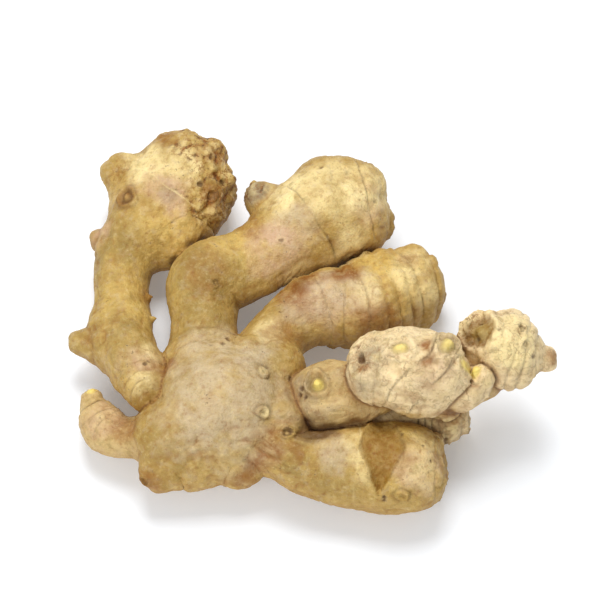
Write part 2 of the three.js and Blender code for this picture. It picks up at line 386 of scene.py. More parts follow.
@dataclass(frozen=True)
class Mark:
    """A bud, an eye, a scar, a stub, a pit or a thorn on the skin."""

    section: Section
    place: Place
    radius: float
    height: float
    yellow: float = 0.0  # how yellow its middle is
    dark: float = 0.0  # how dark its hollow is
    stretch: float = 1.0  # how much longer it is round the finger than along it
    bare: float = 0.0  # how far its middle is broken flesh instead of skin


LOWEST = -90.0  # the lowest line of a finger, in the degrees of a place
SCAR_STEP = 9.0  # distance between two root scars
SCAR_SHIFT = 6.0  # how far each may lie further on
SCAR_TURN = (14.0, 62.0)  # how far each is turned from the lowest line, in degrees
SCAR_RADIUS = (1.5, 2.7)
SCAR_HEIGHT = 0.35  # as a share of the radius


def root_scars(*stretches: tuple[str, float, float], seed: int = 5) -> tuple[Mark, ...]:
    """Draws the scars that thin roots left on the lower sides of the fingers.

    Args:
        *stretches: The fingers that rooted, each with where its scars begin and end.
        seed: What the draw starts from.

    Returns:
        The scars, about one to a centimetre.
    """
    draw = np.random.default_rng(seed)
    scars = []
    for on, start, end in stretches:
        for step in np.arange(start, end, SCAR_STEP):
            along = float(step + draw.uniform(0.0, SCAR_SHIFT))
            turned = float(draw.choice((1.0, -1.0)) * draw.uniform(*SCAR_TURN))
            radius = float(draw.uniform(*SCAR_RADIUS))
            place = Place(on, along, LOWEST + turned)
            scars.append(Mark(ROOT_SCAR, place, radius, SCAR_HEIGHT * radius, dark=0.8))
    return tuple(scars)


MarkRow = tuple[Section, float, float, float, float, float, float]


def marked(on: str, *rows: MarkRow) -> tuple[Mark, ...]:
    """Marks on one finger.

    Args:
        on: The finger.
        *rows: For each mark its kind, its place along, round and leaning, its radius, height and dark.

    Returns:
        The marks, in the order of the rows.
    """
    return tuple(
        Mark(section, Place(on, along, turned, lean), radius, height, dark=dark)
        for section, along, turned, lean, radius, height, dark in rows
    )


MARKS = (
    *marked(
        "left_finger",
        (EYE, 84.4, 117, 0, 5.2, 1.0, 0.9), (ROOT_SCAR, 105, 34, 0, 3.0, 0.9, 0.6),
        (PIT, 105.1, 50, 0, 1.6, 1.1, 0.9), (PIT, 108, 30, 14, 1.8, 1.2, 0.9),
        (PIT, 108, 62, 24, 1.6, 1.0, 0.8), (KNOB, 108, 20, 30, 5.5, 1.6, 0),
        (KNOB, 108, 60, 48, 6.0, 1.6, 0), (KNOB, 108, 110, 40, 5.0, 1.2, 0),
        (KNOB, 68.7, 152, 0, 6.5, 1.3, 0),
    ),
    *marked("head_knob", (KNOB, 7.4, 75, 20, 6.5, 1.3, 0)),
    *marked("left_finger", (PIT, 2.1, 77, 0, 1.2, 0.6, 0.9), (PIT, 3.4, 66, 0, 1.0, 0.5, 0.8)),
    *marked(
        "middle_finger",
        (PIT, 15.1, 60, 0, 1.4, 0.6, 0.8), (PIT, 12.3, 68, 0, 1.1, 0.5, 0.8),
        (PIT, 11.9, 83, 0, 1.0, 0.4, 0.6), (KNOB, 113.1, 114, 48, 11.0, 2.2, 0),
    ),
    *marked("left_finger", (THORN, 47.5, 6, 0, 2.4, 2.6, 0), (THORN, 23.5, 15, 25, 1.7, 3.2, 0)),
    *marked(
        "middle_finger",
        (ROOT_SCAR, 18.5, 50, 0, 2.2, 0.8, 0.6), (ROOT_SCAR, 43.3, 71, 0, 1.9, 0.6, 0.7),
        (PIT, 82.2, 69, 0, 1.2, 0.5, 0.7), (ROOT_SCAR, 113.2, 9, 12, 1.9, 0.6, 0.9),
        (PIT, 113.2, 106, 13, 1.6, 0.4, 0.5), (PIT, 113.2, 63, 40, 1.3, 0.4, 0.6),
        (PIT, 109, 118, 0, 1.2, 0.5, 0.7),
    ),
    *marked("middle_knob", (PIT, 8.1, 119, 33, 3.0, 0.3, 0.15)),
    *marked("right_finger", (KNOB, 78.6, 110, 40, 4.0, 1.2, 0)),
    Mark(EYE, Place("cluster_left", 0.5, 86, -6), 4.6, 1.8, yellow=1.0, dark=0.7, stretch=1.6),
    *marked(
        "cluster_left",
        (PIT, 0, 84, -30, 1.6, 0.9, 1.0), (PIT, 0, 72, -34, 1.3, 0.8, 1.0),
        (PIT, 0, 66, -24, 1.2, 0.8, 1.0), (PIT, 0, 92, -24, 1.0, 0.6, 0.9),
    ),
    *marked("cluster_middle", (KNOB, 17.9, 98, 12, 9.5, 2.4, 0)),
    Mark(BUD, Place("cluster_middle", 17.9, 101, 12), 6.8, 2.6, yellow=0.85, dark=0.6),
    Mark(BUD, Place("cluster_middle", 9.3, 92), 5.8, 1.8, yellow=0.8, dark=0.45),
    *marked(
        "cluster_middle",
        (ROOT_SCAR, 0.5, 108, 0, 3.0, 0.6, 0.3), (PIT, 0, 83, -26, 2.6, 1.7, 1.0),
        (PIT, 0, 108, -30, 1.3, 0.8, 0.9),
    ),
    Mark(
        STUB, Place("cluster_right", 1.2, 82), 8.0, 2.2,
        yellow=0.25, dark=0.3, stretch=1.15, bare=1.0,
    ),
    *marked(
        "cluster_right",
        (PIT, 0.4, 94, 0, 1.4, 0.8, 0.9), (PIT, 0, 72, 0, 1.2, 0.8, 0.9),
        (PIT, 4.5, 84, 0, 1.2, 0.7, 0.8), (KNOB, 1.6, 80, 0, 2.6, 1.4, 0),
        (ROOT_SCAR, 10, 98, 0, 2.4, 0.6, 0.8), (ROOT_SCAR, 12.4, 76, 0, 2.0, 0.5, 0.7),
        (PIT, 16, 60, 0, 1.1, 0.5, 0.7), (KNOB, 18, 20, 10, 3.2, 1.2, 0),
    ),
    Mark(BUD, Place("little_finger", 29, 80, 37), 4.0, 1.2, yellow=0.9),
    Mark(BUD, Place("cluster_bud", 10.8, 97, 22), 5.0, 1.8, yellow=1.0),
    *marked("palm", (BUTTON, 33.3, 68, 0, 2.6, 1.1, 0.7), (BUTTON, 30.5, 114, 0, 2.6, 1.0, 0.6)),
    *marked("shoulder", (PIT, 12.4, 74, 0, 1.2, 0.5, 0.5)),
    *marked(
        "front_lobe",
        (ROOT_SCAR, 7.8, 100, 0, 2.8, 0.9, 1.0), (BUTTON, 55.2, 28, 0, 2.8, 1.1, 0.5),
        (PIT, 49.2, 23, 0, 1.1, 0.8, 1.0), (PIT, 49.6, 18, 0, 0.9, 0.6, 1.0),
        (PIT, 56.6, 95, 20, 0.9, 0.5, 0.9), (PIT, 56.6, 75, 30, 0.8, 0.5, 0.9),
        (PIT, 55, 110, 0, 0.9, 0.5, 0.9),
    ),
    *marked("heel_left", (ROOT_SCAR, 6, 65, 53, 2.6, 0.8, 0.6)),
    *marked(
        "middle_finger",
        (EYE, 113.1, -25, 64, 5.4, 1.6, 0.7), (ROOT_SCAR, 113.1, -52, 22, 2.6, 0.9, 0.9),
        (ROOT_SCAR, 113.1, -155, 40, 2.4, 0.8, 0.9), (KNOB, 113.1, -85, 42, 8.0, 1.7, 0),
    ),
    *marked(
        "right_finger",
        (EYE, 70.7, -40, 62, 4.6, 1.4, 0.7), (ROOT_SCAR, 70.7, -62, 24, 2.3, 0.8, 0.9),
        (PIT, 70.7, 150, 38, 1.5, 0.7, 0.9),
    ),
    *marked(
        "front_lobe",
        (EYE, 56.6, -35, 64, 4.6, 1.4, 0.7), (ROOT_SCAR, 56.6, -75, 28, 2.5, 0.9, 0.9),
        (KNOB, 56.6, 170, 44, 7.0, 1.5, 0),
    ),
    *marked("cluster_foot", (EYE, 22.4, -10, 60, 3.0, 1.0, 0.8)),
) + root_scars(
    ("palm", 2.0, 32.0), ("left_finger", 8.0, 100.0), ("middle_finger", 18.0, 112.0),
    ("right_finger", 18.0, 68.0), ("front_lobe", 12.0, 56.0), ("little_finger", 6.0, 26.0),
    ("cluster_foot", 3.0, 22.0),
)


@dataclass(frozen=True)
class Dish:
    """A dished scar with the outline of a kite, which points down the finger's near side."""

    place: Place
    half_width: float  # in millimetres, as the lengths below
    above: float  # how far it reaches up from its place
    below: float  # and down, to its point
    deep: float
    rim: float
    taper: float = 0.75  # how blunt its point is, where 1 is straight
    narrowing: float = 0.45  # how much narrower it is at its upper end
    thick: float = 11.0  # how far off its plane the skin still belongs to it


DISHES = (Dish(Place("front_lobe", 47.0, 91), 9.2, 14.5, 15.2, 2.8, 0.9),)


class Tint(Enum):
    """What the skin takes on in patches: colours, crumbs and wrinkles, painted highlights, and painted shade
    in crevices and gaps.
    """

    CRUMB = "crumb"
    WRINKLE = "wrinkle"
    PINK = "pink"
    GOLD = "gold"
    OLIVE = "olive"
    # rust-brown stains, and painted shade in a few gaps where fingers overlap
    RUST = "rust"
    PALE = "pale"
    # painted highlights on lit tops, rims and edges, and a few pale scar tips
    BRIGHT = "bright"
    BLUE = "blue"
    # painted shade in the crevices between fingers
    SOIL = "soil"


@dataclass(frozen=True)
class Patch:
    """A soft-edged patch of the skin."""

    tint: Tint
    place: Place
    radius: float
    strength: float


Spot = tuple[float, float, float, float, float]


def patched(tint: Tint, **spots: tuple[Spot, ...]) -> tuple[Patch, ...]:
    """Patches of one tint.

    Args:
        tint: What they give the skin.
        **spots: By finger, the place of each patch along, round and leaning, its radius and strength.

    Returns:
        The patches.
    """
    return tuple(
        Patch(tint, Place(on, along, turned, lean), radius, strength)
        for on, rows in spots.items()
        for along, turned, lean, radius, strength in rows
    )


PATCHES = (
    *patched(
        Tint.CRUMB,
        left_finger=((108, 30, 24, 16, 1.0), (108, 80, 35, 15, 0.8), (110, 150, 30, 8, 0.5)),
        head_lobe=((4.9, 60, 30, 12, 0.9),),
        head_knob=((6, 102, 9, 7, 0.5),),
        cluster_right=((0, 88, -14, 8.5, 1.0), (19, 10, 10, 5, 0.5)),
        cluster_middle=((0, 90, -30, 12, 0.5),),
    ),
    *patched(
        Tint.WRINKLE,
        front_lobe=((10, 80, 0, 13, 0.55),),
        heel_middle=((4.6, 69, 16, 12, 0.25),),
        cluster_foot=((18, 60, 0, 14, 0.8),),
        palm=((32, 40, 0, 12, 0.3),),
        cluster_left=((6, 10, 0, 12, 0.3),),
    ),
    *patched(
        Tint.PINK,
        left_finger=(
            (94.1, 78, 0, 10, 0.9), (4, 70, 0, 9, 0.7), (89.5, 53, 0, 6, 0.8), (68.7, 152, 0, 6, 0.8),
        ),
        middle_finger=((80, 60, 0, 14, 0.9), (113.1, 60, 30, 10, 0.6)),
        right_finger=((31, 66, 0, 12, 0.4), (46, 60, 0, 12, 0.3)),
        little_finger=((15, 90, 0, 10, 0.6),),
        front_lobe=((56.6, 60, 16, 12, 0.7),),
        cluster_middle=((16, 60, 0, 9, 0.5),),
    ),
    *patched(
        Tint.GOLD,
        left_finger=((45, 40, 0, 22, 0.6), (80, 40, 0, 15, 0.7)),
        middle_finger=((66, 110, 0, 14, 0.8),),
        right_finger=((60, 110, 0, 16, 0.9), (33, 108, 0, 8, 0.8)),
        front_lobe=((54, 50, 0, 10, 0.5), (54.9, 130, 0, 10, 0.8)),
    ),
    # painted highlights on the lit tops of the fingers and knobs, along the dish's rim, and lifting some
    # shaded edges; the two small palm ones are pale scar tips
    *patched(
        Tint.BRIGHT,
        middle_finger=(
            (94, 125, 0, 12, 1.0), (104, 95, 0, 13, 0.7), (100, 100, 0, 9, 0.7), (108, 62, 0, 8, 0.5),
            (113.1, 82, 23, 12, 0.9), (113.1, 93, 50, 10, 0.9), (83, 4, 0, 8, 0.9), (98, 2, 0, 9, 0.9),
            (112, 22, 0, 9, 0.8),
        ),
        top_lobe=((8, 90, 0, 12, 0.7),),
        left_finger=(
            (100, 125, 0, 12, 0.8), (105, 90, 0, 10, 0.6), (0, 104, -27, 6, 0.9), (8, 40, 0, 8, 0.6),
        ),
        right_finger=(
            (66, 85, 0, 9, 0.6), (72, 100, 0, 9, 0.7), (70.7, 58, 9, 7, 0.6), (51, 75, 0, 8, 0.6),
            (6.8, 87, 0, 8, 0.7),
        ),
        front_lobe=(
            (36.1, 102, 0, 4.5, 0.5), (38.3, 72, 0, 4.5, 0.6), (41.8, 52, 0, 4.5, 0.4),
            (56.6, 55, 20, 8, 0.5), (56.6, 95, 25, 9, 0.4),
        ),
        cluster_right=((8, 72, 0, 14, 0.8), (3.1, 78, 0, 5, 0.8)),
        head_knob=((7.4, 58, 5, 5, 0.8),),
        palm=((33.7, 68, 0, 3, 0.8), (30.5, 114, 0, 3, 0.7)),
        cluster_foot=((21, 42, 0, 9, 0.7),),
    ),
    *patched(
        Tint.OLIVE,
        left_finger=(
            (62, 120, 0, 20, 0.9), (36, 160, 0, 20, 0.6), (30, 90, 0, 18, 0.7), (12, 90, 0, 14, 0.5),
        ),
        middle_finger=(
            (45, 90, 0, 18, 0.8), (60, 62, 0, 12, 0.6), (52, 79, 0, 10, 0.9), (104, 66, 0, 5, 0.4),
            (30, 100, 0, 14, 0.7),
        ),
        front_lobe=((16, 64, 0, 9, 0.8), (31, 40, 0, 12, 0.35)),
        palm=(
            (8, 120, 0, 16, 0.6), (30, 45, 0, 10, 0.4), (0, 72, -33, 18, 0.4), (32.1, 95, 0, 8, 0.6),
            (0, 72, -34, 10, 0.5),
        ),
        shoulder=((14, 60, 0, 14, 0.6),),
    ),
    # rust-brown stains round eyes, crumbs and heels; those on the right finger's upper side and by the left
    # finger's base are painted shade under the fingers above
    *patched(
        Tint.RUST,
        middle_finger=((48, 84, 0, 12, 0.4), (76.2, 120, 0, 6, 0.6), (76, 150, 0, 8, 0.7)),
        right_finger=(
            (24, 118, 0, 8, 1.0), (33, 124, 0, 7, 1.0), (43, 122, 0, 7, 1.0), (69.1, 108, 0, 4.5, 0.5),
            (10, 60, 0, 9, 0.6), (52, 20, 0, 14, 0.7),
        ),
        left_finger=(
            (2, 14, 0, 6, 0.8), (84.4, 117, 0, 5.5, 0.8), (108.3, 129, 16, 6, 0.6), (106.7, 32, 0, 7, 0.7),
            (108.3, 60, 30, 7, 0.6), (46.8, 12, 0, 7, 0.6),
        ),
        palm=((7.9, 150, 0, 6, 0.7),),
        front_lobe=((7.0, 32, 0, 5, 0.8), (4, 70, 0, 8, 0.6)),
        little_finger=((3.0, 92, 0, 7, 0.6),),
        heel_left=((6, 76, 60, 7, 0.7),),
        heel_right=((7.1, 76, 49, 6, 0.7),),
        cluster_middle=((14.2, 96, 0, 4.0, 1.0), (13.8, 76, 0, 3.0, 0.7)),
        cluster_right=((21.2, 70, 39, 4, 0.7),),
    ),
    *patched(
        Tint.PALE,
        palm=((20, 80, 0, 32, 0.75), (12, 50, 0, 18, 0.6), (28, 60, 0, 12, 0.5)),
        shoulder=((2, 100, 0, 16, 0.8),),
        middle_finger=((14, 96, 0, 12, 0.7), (90, 82, 0, 12, 0.7)),
        right_finger=((36, 88, 0, 13, 0.9), (48, 78, 0, 11, 0.7), (22, 78, 0, 9, 0.7)),
        front_lobe=((30, 78, 0, 8, 0.7),),
    ),
    # painted shade in the crevices where the fingers meet and overlap
    *patched(
        Tint.SOIL,
        right_finger=((28, 117, 0, 4.5, 0.35),),
        front_lobe=(
            (16, 120, 0, 8, 1.0), (27.5, 138, 0, 7, 1.0), (36, 140, 0, 7, 0.6), (22, 119, 0, 4.5, 1.0),
            (27, 124, 0, 4.5, 1.0), (32, 130, 0, 3.5, 0.9),
        ),
        neck_lobe=(
            (8.6, 129, 68, 3.2, 0.9), (8.6, 105, 73, 2.6, 1.0), (8.6, 60, 60, 3.0, 1.0),
            (8.6, 4, 31, 2.8, 0.9),
        ),
    ),
    *patched(
        Tint.BLUE,
        middle_knob=((8.1, 119, 33, 7, 0.85),),
        cluster_middle=((0, 60, -25, 13, 0.7),),
        cluster_left=((0, 75, -30, 7, 0.5),),
        left_finger=((92, 75, 0, 6, 0.4),),
    ),
)


@dataclass
class Survey:
    """What the skin is like at each vertex: its host finger, and its place on it."""

    host: np.ndarray
    along: Values
    side: Values
    top: Values
    off: Values
    melted: Values
    crease: Values
    # painted shade beside the creases
    nook: Values


class Hand:
    """The whole hand of ginger as a field of distances, from which the skin takes its shape."""

    MARGIN = 12.0  # how far from a finger its neighbours still feel it
    CREASE_WIDTH = 1.3  # half width of a crease between two fingers
    NOOK_WIDTH = 5.0  # and of the strip of painted shade on both sides of it
    KIN_MELT = 11.0  # how widely a swelling runs into its finger, at most
    KIN_SHARE = 0.7  # and how widely as a share of its radius
    TOUCH_MELT = 1.6  # how widely two fingers run together that only touch
    MELT_CAP = 2.8  # most that two fingers fill the corner between them
    CREASED = (3.0, 8.0)  # the widths of melting at which a crease is at its sharpest, and gone

    def __init__(self) -> None:
        """Samples every finger and works out how widely each pair melts together."""
        self.courses = [Course(finger, turn) for turn, finger in enumerate(FINGERS)]
        melts = np.array([finger.melt for finger in FINGERS])
        self.melts = np.minimum(melts[:, None], melts[None, :])
        names = [finger.name for finger in FINGERS]
        for i, finger in enumerate(FINGERS):
            kin = [j for j, other in enumerate(FINGERS) if finger.kin and other.kin == finger.kin]
            siblings = [j for j in kin if j != i]
            if finger.kin:
                wide = min(self.KIN_MELT, self.KIN_SHARE * finger.line[0][3])
                self._pair(i, [names.index(finger.kin), *siblings], wide)
            if finger.touches:
                self._pair(i, [names.index(finger.touches)], self.TOUCH_MELT)

    def _pair(self, one: int, others: list[int], width: float) -> None:
        """Sets how widely a finger melts into others."""
        self.melts[one, others] = self.melts[others, one] = width

    def course(self, name: str) -> Course:
        """The course of the finger of that name."""
        return next(c for c in self.courses if c.finger.name == name)

    def frame_at(self, place: Place) -> tuple[np.ndarray, np.ndarray]:
        """The frame of a place on the skin.

        Args:
            place: The place on its finger.

        Returns:
            The origin, and the directions along, round and out of the finger as rows.
        """
        course = self.course(place.on)
        centre, ahead, side, top, radius = course.at(place.along)
        angle, tilt = math.radians(place.round), math.radians(place.lean)
        about = -side * math.sin(angle) + top * math.cos(angle)
        out = (side * math.cos(angle) + top * math.sin(angle)) * math.cos(tilt) + ahead * math.sin(tilt)
        uneven = float(course.unevenness(np.array(angle), np.array(place.along)))
        return centre + out * (radius * (1.0 + uneven)), np.stack([np.cross(about, out), about, out])

    def survey(self, points: Points) -> Survey:
        """Measures the places against every finger.

        Args:
            points: Places in millimetres.

        Returns:
            The survey of the places.
        """
        count = len(points)
        offs = np.full((len(self.courses), count), FAR)
        spots = np.zeros((len(self.courses), 3, count))
        for i, course in enumerate(self.courses):
            reach = course.radius.max() + self.MARGIN
            low, high = course.centre.min(axis=0) - reach, course.centre.max(axis=0) + reach
            inside = np.flatnonzero(((points > low) & (points < high)).all(axis=1))
            found = course.locate(points[inside])
            offs[i, inside] = found.off
            spots[i][:, inside] = (found.along, found.side, found.top)
        host = np.argmin(offs, axis=0)
        own = offs[host, np.arange(count)]
        melted = np.zeros(count)
        crease = np.zeros(count)
        nook = np.zeros(count)
        for i in range(len(self.courses)):
            width = self.melts[host, i]
            near = np.clip(1.0 - (offs[i] - own) / width, 0.0, 1.0) * (host != i)
            melted += near**2 * width / 4
            sharp = fall_between(width, *self.CREASED)
            gap = np.where(host == i, FAR, offs[i] - own)
            crease = np.maximum(crease, sharp * bump_at(gap, 0.0, self.CREASE_WIDTH))
            # painted shade that fades off both sides of a crease
            nook = np.maximum(nook, sharp * np.exp(-np.maximum(gap, 0.0) / self.NOOK_WIDTH))
        along, side, top = spots[host, :, np.arange(count)].T
        return Survey(host, along, side, top, own, np.minimum(melted, self.MELT_CAP), crease, nook)


def vertex_normals(points: Points, triangles: np.ndarray) -> Points:
    """The unit normals of a mesh's vertices, weighted by the area of the triangles round them.

    Args:
        points: The vertices.
        triangles: The corners of the triangles, as numbers of the vertices.

    Returns:
        A direction for each vertex.
    """
    a, b, c = (points[triangles[:, i]] for i in range(3))
    faces = np.cross(b - a, c - a)
    sums = [sum(np.bincount(triangles[:, i], way, len(points)) for i in range(3)) for way in faces.T]
    total = np.stack(sums, axis=1)
    return total / np.maximum(np.linalg.norm(total, axis=1, keepdims=True), TINY)


def points_of(piece: bpy.types.Object) -> Points:
    """Reads the vertices of a piece.

    Args:
        piece: The piece.

    Returns:
        Their places in millimetres.
    """
    flat = np.empty(len(piece.data.vertices) * 3, dtype=np.float32)
    piece.data.vertices.foreach_get("co", flat)
    return flat.reshape(-1, 3).astype(float) / MM


def move_points(piece: bpy.types.Object, points: Points) -> None:
    """Puts the vertices of a piece at places in millimetres."""
    piece.data.vertices.foreach_set("co", (points * MM).astype(np.float32).ravel())
    piece.data.update()


def triangles_of(piece: bpy.types.Object) -> np.ndarray:
    """Reads the triangles of a piece.

    Args:
        piece: The piece.

    Returns:
        Their corners, as numbers of its vertices.
    """
    piece.data.calc_loop_triangles()
    flat = np.empty(len(piece.data.loop_triangles) * 3, dtype=np.int32)
    piece.data.loop_triangles.foreach_get("vertices", flat)
    return flat.reshape(-1, 3)


def select_only(*pieces: bpy.types.Object) -> None:
    """Selects these objects alone and makes the first one active.

    Args:
        *pieces: The objects.
    """
    bpy.ops.object.select_all(action="DESELECT")
    for piece in pieces:
        piece.select_set(True)
    bpy.context.view_layer.objects.active = pieces[0]


def finish_with(piece: bpy.types.Object, kind: str, **settings: Any) -> None:
    """Adds a modifier to a piece and applies it.

    Args:
        piece: The piece.
        kind: The type of the modifier.
        **settings: Its settings.
    """
    select_only(piece)
    modifier = piece.modifiers.new(kind.lower(), kind)
    for name, value in settings.items():
        setattr(modifier, name, value)
    bpy.ops.object.modifier_apply(modifier=modifier.name)


@dataclass
class Traces:
    """What the relief leaves on the skin: its height, and how yellow, dark or open it is, up to 1."""

    height: Values
    yellow: Values
    dark: Values
    dish: Values

    @classmethod
    def none(cls, count: int) -> "Traces":
        """Traces that leave the skin as it is."""
        return cls(*(np.zeros(count) for _ in range(4)))


class Bumps(Enum):
    """The noises of the relief: how far off each is read, the size of its bumps, and its strength."""

    RING_WANDER = (31.0, 12.0, 1.5)
    SHAKE = (0.0, 3.0, 0.25)
    RING_WEAR = (57.0, 9.0, 0.9)
    MARK_EDGE = (0.0, 2.2, 0.16)
    DISH_EDGE = (0.0, 3.5, 0.07)
    PATCH_EDGE = (11.0, 7.0, 0.35)
    PATCH_FRAY = (0.0, 3.0, 0.2)
    FIBRES = (0.0, 1.5, 0.1)
    CRACKED = (40.0, 16.0, 1.0)
    CRUMBS = (0.0, 5.5, 1.0)
    SMALL_CRUMBS = (5.0, 2.8, 0.6)
    TINY_CRUMBS = (8.0, 1.5, 0.3)


@dataclass
class Relief:
    """The fine relief of the skin, as heights over the melted fingers."""

    MARK_REACH = 1.5  # the share of its radius to which a mark reaches, at most
    MARK_SPARE = 4.0  # what is added to that for its ragged outline
    RAGGED = ((0.14, 2, 1.7), (0.07, 3, 2.9))  # the strength, number and phase of that outline's waves
    ASKEW = 0.45  # how much higher a mark stands on one side
    WORN = (0.3, 0.7)  # the shares of its radius between which that begins
    MIDDLE = (0.26, 0.6)  # those between which its yellow middle ends
    FLESH = (0.6, 0.9)  # those between which its broken flesh ends
    PITTED = (0.5, 0.95)  # those between which the dark of a pit or a stub ends
    PATCH_ENDS = (0.45, 1.15)  # and the shares of its radius between which a patch ends

    hand: Hand
    lumps: tuple[tuple[float, float], ...] = ((14.0, 0.8), (7.5, 0.55))
    grit: tuple[tuple[float, float], ...] = ((4.2, 0.3), (2.3, 0.2), (1.4, 0.08))
    ring_run: float = 1.8  # how far a ring scar's edge takes to rise
    ring_drop: float = 0.5  # and to fall again, towards the tip
    ring_line: float = 0.5  # half width of the line past its edge
    fibre_draw: float = 0.2  # how much length along a finger is shortened, so that noise runs in fibres
    wrinkle_depth: float = 0.8
    wrinkled: float = 0.12  # how wrinkled the skin is everywhere
    crack_depth: float = 0.35
    crease_depth: float = 1.0
    crumb_height: float = 1.2
    noise: Noise = field(default_factory=lambda: Noise(7))

    def stir(self, points: Points, bumps: Bumps) -> Values:
        """One of the noises at each place."""
        apart, size, strength = bumps.value
        return strength * self.noise.at(points + apart, size)

    def ring_traces(self, points: Points, survey: Survey) -> Traces:
        """The ring scars and the swellings between them.

        Args:
            points: Places in millimetres.
            survey: The survey of the places.

        Returns:
            The heights of the scars, and how dark their lines are.
        """
        traces = Traces.none(len(points))
        wander = self.stir(points, Bumps.RING_WANDER) + self.stir(points, Bumps.SHAKE)
        worn = np.clip(0.6 + self.stir(points, Bumps.RING_WEAR), 0.1, 1.0)
        across = np.maximum(np.hypot(survey.side, survey.top), 1.0)
        askew = (survey.side - survey.top) / across / math.sqrt(2)
        for i, course in enumerate(self.hand.courses):
            mine = np.flatnonzero(survey.host == i)
            finger = course.finger
            for ring in finger.scars:
                past = survey.along[mine] - ring.along + wander[mine] + ring.slant * askew[mine]
                edge = np.where(past < 0, 1.0 + past / self.ring_run, 1.0 - past / self.ring_drop)
                line = bump_at(past, self.ring_drop, self.ring_line)
                rise = ring.lip * lift_between(edge, 0.0, 1.0) - ring.groove * line
                traces.height[mine] += worn[mine] * rise
                level = worn[mine] * ring.dark * line
                known = traces.dark[mine]
                traces.dark[mine] = np.where(np.abs(level) > np.abs(known), level, known)
            stops = sorted(ring.along for ring in finger.scars)
            for start, end in zip(stops, stops[1:]):
                share = np.clip((survey.along[mine] + wander[mine] - start) / (end - start), 0.0, 1.0)
                traces.height[mine] += finger.swell * 4.0 * share * (1.0 - share)
        return traces

    def mark_traces(self, points: Points) -> Traces:
        """Buds, eyes, scars, pits and thorns.

        Args:
            points: Places in millimetres.

        Returns:
            Their heights, and how yellow and dark they are.
        """
        traces = Traces.none(len(points))
        for turn, mark in enumerate(MARKS):
            origin, axes = self.hand.frame_at(mark.place)
            reach = mark.radius * mark.stretch * self.MARK_REACH + self.MARK_SPARE
            inside = np.flatnonzero(np.linalg.norm(points - origin, axis=1) < reach)
            local = (points[inside] - origin) @ axes.T
            angle = np.arctan2(local[:, 1], local[:, 0])
            ragged = np.ones(len(inside))
            for strength, bumps, phase in self.RAGGED:
                ragged += strength * np.sin(bumps * angle + phase * turn)
            ragged += self.stir(points[inside], Bumps.MARK_EDGE)
            share = np.hypot(local[:, 0], local[:, 1] / mark.stretch) / (mark.radius * ragged)
            stops, heights = zip(*mark.section.value)
            worn = 1.0 + self.ASKEW * np.sin(angle + 2.3 * turn) * lift_between(share, *self.WORN)
            traces.height[inside] += mark.height * worn * np.interp(share, stops, heights)
            middle = fall_between(share, *self.MIDDLE)
            traces.yellow[inside] = np.maximum(traces.yellow[inside], mark.yellow * middle)
            bare = mark.bare * fall_between(share, *self.FLESH)
            traces.dish[inside] = np.maximum(traces.dish[inside], bare)
            if mark.section in (PIT, STUB):
                hollow = fall_between(share, *self.PITTED)
            elif mark.section is BUTTON:
                hollow = 0.7 * bump_at(share, 1.1, 0.22) + bump_at(share, 0.0, 0.3)
            else:
                hollow = bump_at(share, 0.45, 0.2) + 0.5 * bump_at(share, 1.0, 0.12)
            traces.dark[inside] = np.maximum(traces.dark[inside], mark.dark * np.minimum(hollow, 1.0))
        return traces

    def dish_traces(self, points: Points) -> Traces:
        """The dished scars.

        Args:
            points: Places in millimetres.

        Returns:
            Their heights, and where their floors are.
        """
        traces = Traces.none(len(points))
        for dish in DISHES:
            origin, axes = self.hand.frame_at(dish.place)
            local = (points - origin) @ axes.T
            across, up = local[:, 0], local[:, 1] + self.stir(points, Bumps.SHAKE)
            tapered = np.clip(1.0 + up / dish.below, 0.0, 1.0) ** dish.taper
            width = dish.half_width * np.where(up < 0, tapered, 1.0 - dish.narrowing * up / dish.above)
            lobe = np.abs(across) / np.maximum(width, 0.3)
            share = (lobe**3 + np.clip(up / dish.above, 0.0, None) ** 3) ** (1 / 3)
            share *= 1.0 + self.stir(points, Bumps.DISH_EDGE)
            near = np.abs(local[:, 2]) < dish.thick
            bowl = np.clip(1.0 - share**2.4, 0.0, 1.0) ** 0.75
            rim = bump_at(share, 1.04, 0.07) * lift_between(-across, 1.0, 5.0)
            traces.height += near * (dish.rim * rim - dish.deep * bowl)
            traces.dish = np.maximum(traces.dish, near * fall_between(share, 0.66, 1.02))
            # painted shade along the dish's edge on the side towards the finger's tip
            edge = bump_at(share, 0.93, 0.1) * lift_between(across, 0.0, 4.0)
            traces.dark = np.maximum(traces.dark, near * 0.6 * edge)
        return traces

    def patches(self, points: Points) -> dict[Tint, Values]:
        """The patches of the skin.

        Args:
            points: Places in millimetres.

        Returns:
            How strong each tint is at each place.
        """
        found = {tint: np.zeros(len(points)) for tint in Tint}
        ragged = 1.0 + self.stir(points, Bumps.PATCH_EDGE) + self.stir(points, Bumps.PATCH_FRAY)
        for patch in PATCHES:
            origin, _ = self.hand.frame_at(patch.place)
            share = np.linalg.norm(points - origin, axis=1) * ragged / patch.radius
            level = patch.strength * fall_between(share, *self.PATCH_ENDS)
            found[patch.tint] = np.maximum(found[patch.tint], level)
        return found

    def grain(self, survey: Survey) -> Points:
        """Places with their length along the finger shortened, so that noise runs in fibres."""
        return np.stack([survey.along * self.fibre_draw, survey.side, survey.top], axis=1)

    def vein(self, points: Points, size: float, width: float) -> Values:
        """Thin wandering lines, 1 in their middle."""
        return bump_at(self.noise.at(points, size), 0.0, width)

